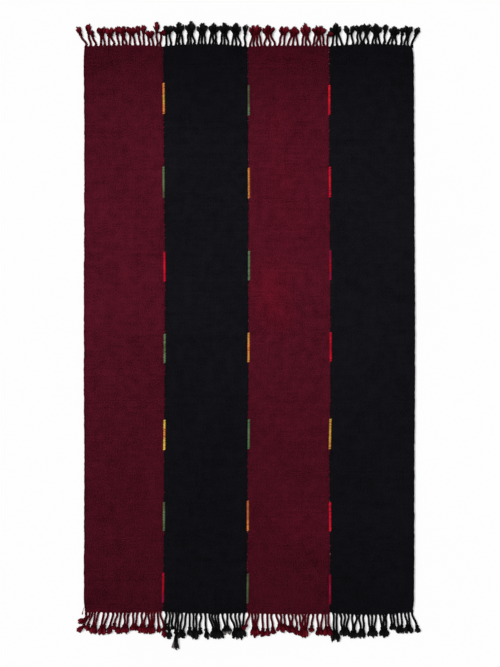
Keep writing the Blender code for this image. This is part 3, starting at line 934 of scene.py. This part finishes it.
def add_tuft(pile, strand, rng, tone, pale_tip):
    """The loose yarn ends past the knot, splayed like a mop."""
    aim = strand.tip - strand.knot
    length = np.linalg.norm(aim)
    aim = aim / length
    side = np.array([aim[1], -aim[0]])
    t = np.linspace(0, 1, len(YARN_SWELL) + 1)[:, None]
    slow = 0.2 * strand.neck
    opened = np.where(t < strand.neck, 0.2 * t, slow + (t - strand.neck) * (1 - slow) / (1 - strand.neck))
    foot = 0.0 if strand.neck else TUFT_FOOT
    opened = foot + (1 - foot) * opened**strand.late
    start = strand.knot if strand.neck else strand.knot + TUFT_START * aim
    rounding = FLARE_ROUNDING if strand.neck else ROUNDING
    for lobe in range(LOWER + UPPER):
        above = lobe >= LOWER
        if above:
            part = (2 * (lobe - LOWER) / (UPPER - 1) - 1) * UPPER_SPREAD
        else:
            part = 2 * lobe / (LOWER - 1) - 1
        part += rng.uniform(-0.13, 0.13)
        reach = (length - 2.0) * (1 - rounding * part * part) * (UPPER_REACH if above else 1.0)
        reach *= 1 + strand.ragged * rng.uniform(-1.2, 0.8)
        curl = TUFT_CURL * (1 - 1.6 * strand.neck) * np.sin(math.pi * t) * rng.uniform(-1, 1)
        flat = start + aim * (reach * t) + side * (strand.half * part * opened + curl)
        rest = rng.uniform(6.0, 8.0) if above else rng.uniform(2.8, 4.0)
        fallen = 1 - (1 - t) ** 2
        height = (KNOT_HEIGHT + strand.lift) * (1 - t) ** 2 + (rest + 0.5 * strand.lift) * fallen
        height = height + (1.8 if above else 0.6) * np.sin(math.pi * t)
        radii = YARN_RADIUS * rng.uniform(0.85, 1.15) * np.append(YARN_SWELL, rng.uniform(0.5, 0.75))
        radii = radii * (1 - NECK_THIN * smooth((strand.neck - t[:, 0]) / 0.15))
        path = np.hstack([flat, np.maximum(height, YARN_FLOOR * radii[:, None])])
        # Partly a random tone for each yarn end and partly painted shade: the lower yarn ends are darker on
        # the whole than the upper ones, and each is darker near the knot, for the shade that falls among
        # them.
        tone_and_painted_shade = rng.uniform(0.4, 2.1) if above else rng.uniform(0.25, 1.35)
        tone_and_painted_shade = tone_and_painted_shade * (0.55 + 0.6 * smooth(t[:, 0] / 0.6))
        if strand.faded:
            share = rng.uniform(0.25, 0.75) * smooth((t[:, 0] - 0.5) / 0.3)
        elif strand.neck and part * strand.way < -0.3:
            share = rng.uniform(0.5, 1.0) * smooth((t[:, 0] - 0.65) / 0.3)
        else:
            share = pale_tip * rng.uniform() * smooth((t[:, 0] - 0.6) / 0.35)
        pile.tube(path, radii, 7, tone * tone_and_painted_shade, share, oval=0.15, turn=0.5)


def make_fringe(side, strip, material):
    """All strands of one fringe."""
    ends = TOP_ENDS if side == "top" else BOTTOM_ENDS
    bunches = TOP_BUNCHES if side == "top" else BOTTOM_BUNCHES
    way = 1.0 if side == "top" else -1.0
    rng = np.random.default_rng(100 + 10 * strip + (side == "top"))
    pile = Pile()
    for strand in strands_of(side, strip, ends[strip], bunches[strip], way, rng):
        tone = rng.uniform(0.88, 1.14)
        add_cord(pile, strand, rng, 1.2 * tone)
        # Painted shade: each knot is darker than its cord and tuft, for the shade among its turns.
        add_knot(pile, strand, rng, rng.uniform(0.5, 0.95) * tone)
        add_tuft(pile, strand, rng, tone, PALE_TIP[STRIP_WOOLS[strip]])
    if (side, strip) == LOOSE_AT:
        pile.tube(LOOSE_PATH, LOOSE_RADII, 6, 1.2, 1.0)
    return pile.finish(f"fringe_yarn_{side}_{strip + 1}", material)


def add_stitch(pile, seam, lean, y, half, slant, radius, rise, tone, share, sides):
    """One stitch over a seam, from the cloth on its left to the cloth on its right."""
    t = np.linspace(-1, 1, STITCH_RINGS)
    x = join_x(seam, y) + lean + half * t
    ys = y + slant * t / 2
    ground = cloth_height(x, ys)
    z = ground - radius * 0.9 + rise * np.sqrt(np.maximum(1 - (t * 0.98) ** 2, 0))
    radii = radius * (0.72 + 0.28 * np.sqrt(1 - (t * 0.95) ** 2))
    pile.tube(np.stack([x, ys, z], axis=1), radii, sides, tone, share, oval=0.14, turn=0.6)


def make_stretch(number, stretch, material):
    """One coloured stretch of a seam, as thick slanted stitches side by side."""
    rng = np.random.default_rng(300 + number)
    pile = Pile()
    count = round((stretch.top - stretch.bottom) / STITCH_PITCH)
    for i in range(count):
        part = (i + 0.5) / count
        y = stretch.top - part * (stretch.top - stretch.bottom) + rng.uniform(-0.5, 0.5)
        if stretch.mix == "low":
            share = smooth((part - 0.6) * 5 + rng.uniform(-0.4, 0.4))
        elif stretch.mix == "middle":
            share = smooth(1.6 - abs(part - 0.5) * 7 + rng.uniform(-0.5, 0.5))
        else:
            share = smooth(0.5 + 1.4 * np.linspace(-1, 1, STITCH_RINGS) + rng.uniform(-0.5, 0.5))
        half = STITCH_HALF * rng.uniform(0.9, 1.08)
        rise = rng.uniform(*STITCH_RISE)
        slant = STITCH_SLANT + rng.uniform(-0.6, 0.6)
        tone = rng.uniform(0.86, 1.12)
        add_stitch(pile, stretch.seam, stretch.lean, y, half, slant, STITCH_RADIUS, rise, tone, share,
                   STITCH_SIDES)
    return pile.finish(f"stitches_{stretch.seam}_{number + 1}", material)


def make_joining(seam, material):
    """The plain stitches that join two strips between the coloured stretches."""
    rng = np.random.default_rng(500 + seam)
    pile = Pile()
    taken = [s for s in STRETCHES if s.seam == seam]
    y = JOINING_FROM
    while y < JOINING_TO:
        if not any(s.bottom - JOINING_CLEAR < y < s.top + JOINING_CLEAR for s in taken):
            half = JOINING_HALF * rng.uniform(0.8, 1.2)
            share = float(rng.uniform() < JOINING_BURGUNDY)
            slant = JOINING_SLANT + rng.uniform(-1, 1)
            tone = rng.uniform(0.9, 1.2)
            add_stitch(pile, seam, 0.0, y, half, slant, JOINING_RADIUS, JOINING_RISE, tone, share,
                       JOINING_SIDES)
        y += JOINING_PITCH * rng.uniform(0.8, 1.2)
    return pile.finish(f"joining_{seam}", material)


def make_floor():
    """A plain pale floor, which isn't part of the rug."""
    shader = Shader("floor_paint")
    shader.paint(FLOOR_COLOUR, shader.total(1.0, (shader.noise((900, 900, 900)), 0.002)))
    corners = [(x * FLOOR_HALF, y * FLOOR_HALF, 0) for x, y in ((-1, -1), (1, -1), (1, 1), (-1, 1))]
    return make_object("floor", corners, [[0, 1, 2, 3]], shader.material)


def make_sun(sun):
    """A sun that shines on the middle of the rug."""
    light = bpy.data.lights.new(sun.name, "SUN")
    light.energy = sun.energy
    light.angle = math.radians(sun.angle)
    item = bpy.data.objects.new(sun.name, light)
    item.location = sun.place
    item.rotation_euler = item.location.normalized().to_track_quat("Z", "Y").to_euler()
    bpy.context.scene.collection.objects.link(item)


def make_camera():
    """A long lens straight above the rug, as the photograph was taken."""
    camera = bpy.data.cameras.new("camera")
    camera.sensor_width = SENSOR
    camera.lens = SENSOR * CAMERA_AT[2] / (PHOTO_ROWS * PIXEL * MM)
    item = bpy.data.objects.new("camera", camera)
    item.location = CAMERA_AT
    bpy.context.scene.collection.objects.link(item)
    bpy.context.scene.camera = item


def make_world():
    """Even pale light from all round."""
    world = bpy.data.worlds.new("studio")
    world.use_nodes = True
    world.node_tree.nodes["Background"].inputs["Color"].default_value = (1, 1, 1, 1)
    world.node_tree.nodes["Background"].inputs["Strength"].default_value = WORLD_LIGHT
    bpy.context.scene.world = world


make_camera()
make_world()
for sun in SUNS:
    make_sun(sun)
floor = make_floor()
bpy.context.scene.view_settings.view_transform = "Standard"

cloth_materials = {
    name: cloth_material(f"{name}_cloth", colour, BRIGHTER[name]) for name, colour in CLOTH_COLOURS.items()
}
yarn_materials = {
    name: yarn_material(f"{name}_cords", colour, PALER[name]) for name, colour in YARN_COLOURS.items()
}

for strip, wool in enumerate(STRIP_WOOLS):
    number = strip + 1
    cloth = make_cloth(strip, cloth_materials[wool])
    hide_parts(f"panel_{number}")
    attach(cloth, "root")
    for side in ("top", "bottom"):
        fringe = make_fringe(side, strip, yarn_materials[wool])
        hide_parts(f"fringe_{side}_{number}")
        if side == "bottom" and strip == 1:
            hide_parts("fringe_bottom_2_long")
        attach(fringe, "root")

for number, stretch in enumerate(STRETCHES):
    material = yarn_material(f"seam_wool_{number + 1}", WOOLS[stretch.wool], WOOLS[stretch.second])
    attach(make_stretch(number, stretch, material), "root")
joining_material = yarn_material("joining_wool", WOOLS["black"], WOOLS["burgundy"])
for seam in (1, 2, 3):
    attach(make_joining(seam, joining_material), "root")
